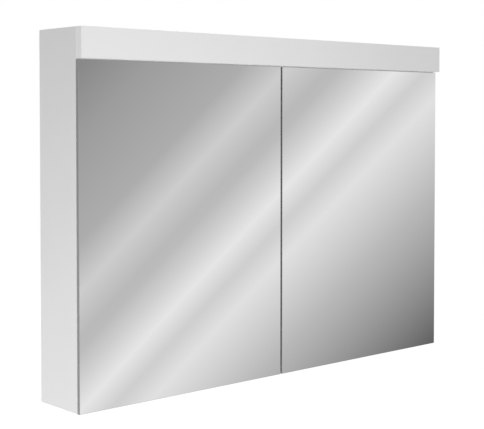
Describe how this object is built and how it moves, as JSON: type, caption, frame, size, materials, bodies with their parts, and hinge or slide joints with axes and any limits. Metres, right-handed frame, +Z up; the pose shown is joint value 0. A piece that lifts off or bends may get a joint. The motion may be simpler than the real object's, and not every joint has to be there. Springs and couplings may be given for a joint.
{
  "type": "bathroom mirror cabinet",
  "caption": "Wide shallow wall cabinet with frameless mirror doors on link hinges, glass shelves, an inner socket and a light bar along its top.",
  "frame": {"origin": "the middle of the back face, in the plane of the wall", "axes": "+X to the viewer's right along the width, +Y into the wall, +Z up; the doors face -Y"},
  "size_m": [1, 0.142, 0.7],
  "materials": {
    "white_board": "satin white lacquer on 16 mm board",
    "back_board": "white coated hardboard",
    "cover_steel": "white powder coat",
    "zinc_steel": "bright zinc plating",
    "dowel_beech": "plain turned beech",
    "grommet_rubber": "moulded black rubber",
    "shelf_glass": "clear float glass with polished edges",
    "pin_nickel": "nickel plating",
    "bumper_clear": "clear soft polyurethane",
    "bar_coat": "satin white powder coat on extruded aluminium",
    "cap_plastic": "moulded, matt white",
    "opal_acrylic": "extruded opal acrylic",
    "led_board": "white solder resist with yellow chips",
    "driver_plastic": "moulded, white",
    "block_nylon": "moulded natural nylon",
    "wire_sheath": "grey sheath",
    "socket_plastic": "moulded, glossy white",
    "silver_mirror": "silvered float glass with ground edges",
    "hinge_nickel": "nickel-plated pressed steel",
    "boss_zinc": "nickel-plated zinc casting"
  },
  "bodies": {
    "cabinet": {"left_side_panel": "white_board", "right_side_panel": "white_board", "top_panel": "white_board", "bottom_panel": "white_board", "back_panel": "back_board", "centre_partition": "white_board", "fascia_rail": "white_board", "top_cover": "cover_steel", "carcass_dowels": "dowel_beech", "cover_screws": "zinc_steel", "wall_fixing_plates": "zinc_steel", "wall_plate_screws": "zinc_steel", "cable_grommet": "grommet_rubber", "left_upper_shelf": "shelf_glass", "left_lower_shelf": "shelf_glass", "right_upper_shelf": "shelf_glass", "right_lower_shelf": "shelf_glass", "shelf_pins": "pin_nickel", "door_bumpers": "bumper_clear", "light_bar_profile": "bar_coat", "light_bar_left_cap": "cap_plastic", "light_bar_right_cap": "cap_plastic", "lower_diffuser": "opal_acrylic", "upper_diffuser": "opal_acrylic", "lower_led_board": "led_board", "upper_led_board": "led_board", "light_bar_screws": "zinc_steel", "led_driver": "driver_plastic", "terminal_block": "block_nylon", "internal_wiring": "wire_sheath", "socket_box": "socket_plastic", "socket_insert": "socket_plastic", "left_upper_hinge_plate": "hinge_nickel", "left_lower_hinge_plate": "hinge_nickel", "right_upper_hinge_plate": "hinge_nickel", "right_lower_hinge_plate": "hinge_nickel", "left_upper_hinge_arm": "hinge_nickel", "left_lower_hinge_arm": "hinge_nickel", "right_upper_hinge_arm": "hinge_nickel", "right_lower_hinge_arm": "hinge_nickel", "hinge_screws": "zinc_steel"},
    "left_door": {"left_door_front_mirror": "silver_mirror", "left_door_back_mirror": "silver_mirror", "left_upper_hinge_boss": "boss_zinc", "left_lower_hinge_boss": "boss_zinc"},
    "left_long_lever_pair": {"left_long_levers": "hinge_nickel"},
    "left_short_lever_pair": {"left_short_levers": "hinge_nickel"},
    "left_long_strut_pair": {"left_long_struts": "hinge_nickel"},
    "left_short_strut_pair": {"left_short_struts": "hinge_nickel"},
    "right_door": {"right_door_front_mirror": "silver_mirror", "right_door_back_mirror": "silver_mirror", "right_upper_hinge_boss": "boss_zinc", "right_lower_hinge_boss": "boss_zinc"},
    "right_long_lever_pair": {"right_long_levers": "hinge_nickel"},
    "right_short_lever_pair": {"right_short_levers": "hinge_nickel"},
    "right_long_strut_pair": {"right_long_struts": "hinge_nickel"},
    "right_short_strut_pair": {"right_short_struts": "hinge_nickel"},
    "switch_rocker": {"switch_rocker": "socket_plastic"}
  },
  "joints": [
    {"name": "left_door_hinge", "type": "hinge", "parent": "cabinet", "child": "left_door", "pos_m": [-0.4975, -0.128, 0], "axis": [0, 0, -1], "range_deg": [0, 105]},
    {"name": "left_long_lever_pivot", "type": "hinge", "parent": "cabinet", "child": "left_long_lever_pair", "pos_m": [-0.4784, -0.1075, 0], "axis": [0, 0, -1], "range_deg": [0, 105]},
    {"name": "left_short_lever_pivot", "type": "hinge", "parent": "cabinet", "child": "left_short_lever_pair", "pos_m": [-0.46886, -0.09726, 0], "axis": [0, 0, -1], "range_deg": [0, 105]},
    {"name": "left_long_strut_pivot", "type": "hinge", "parent": "left_door", "child": "left_long_strut_pair", "pos_m": [-0.4698, -0.1195, 0], "axis": [0, 0, -1], "range_deg": [-105, 0]},
    {"name": "left_short_strut_pivot", "type": "hinge", "parent": "left_door", "child": "left_short_strut_pair", "pos_m": [-0.45642, -0.11539, 0], "axis": [0, 0, -1], "range_deg": [-105, 0]},
    {"name": "right_door_hinge", "type": "hinge", "parent": "cabinet", "child": "right_door", "pos_m": [0.4975, -0.128, 0], "axis": [0, 0, 1], "range_deg": [0, 105]},
    {"name": "right_long_lever_pivot", "type": "hinge", "parent": "cabinet", "child": "right_long_lever_pair", "pos_m": [0.4784, -0.1075, 0], "axis": [0, 0, 1], "range_deg": [0, 105]},
    {"name": "right_short_lever_pivot", "type": "hinge", "parent": "cabinet", "child": "right_short_lever_pair", "pos_m": [0.46886, -0.09726, 0], "axis": [0, 0, 1], "range_deg": [0, 105]},
    {"name": "right_long_strut_pivot", "type": "hinge", "parent": "right_door", "child": "right_long_strut_pair", "pos_m": [0.4698, -0.1195, 0], "axis": [0, 0, 1], "range_deg": [-105, 0]},
    {"name": "right_short_strut_pivot", "type": "hinge", "parent": "right_door", "child": "right_short_strut_pair", "pos_m": [0.45642, -0.11539, 0], "axis": [0, 0, 1], "range_deg": [-105, 0]},
    {"name": "switch_tilt", "type": "hinge", "parent": "cabinet", "child": "switch_rocker", "pos_m": [0.412, -0.042, 0.239], "axis": [-1, 0, 0], "range_deg": [0, 14]}
  ],
  "couplings": [
    {"joint": "left_long_lever_pivot", "follows": "left_door_hinge", "ratio": 1},
    {"joint": "left_short_lever_pivot", "follows": "left_door_hinge", "ratio": 1},
    {"joint": "left_long_strut_pivot", "follows": "left_door_hinge", "ratio": -1},
    {"joint": "left_short_strut_pivot", "follows": "left_door_hinge", "ratio": -1},
    {"joint": "right_long_lever_pivot", "follows": "right_door_hinge", "ratio": 1},
    {"joint": "right_short_lever_pivot", "follows": "right_door_hinge", "ratio": 1},
    {"joint": "right_long_strut_pivot", "follows": "right_door_hinge", "ratio": -1},
    {"joint": "right_short_strut_pivot", "follows": "right_door_hinge", "ratio": -1}
  ]
}
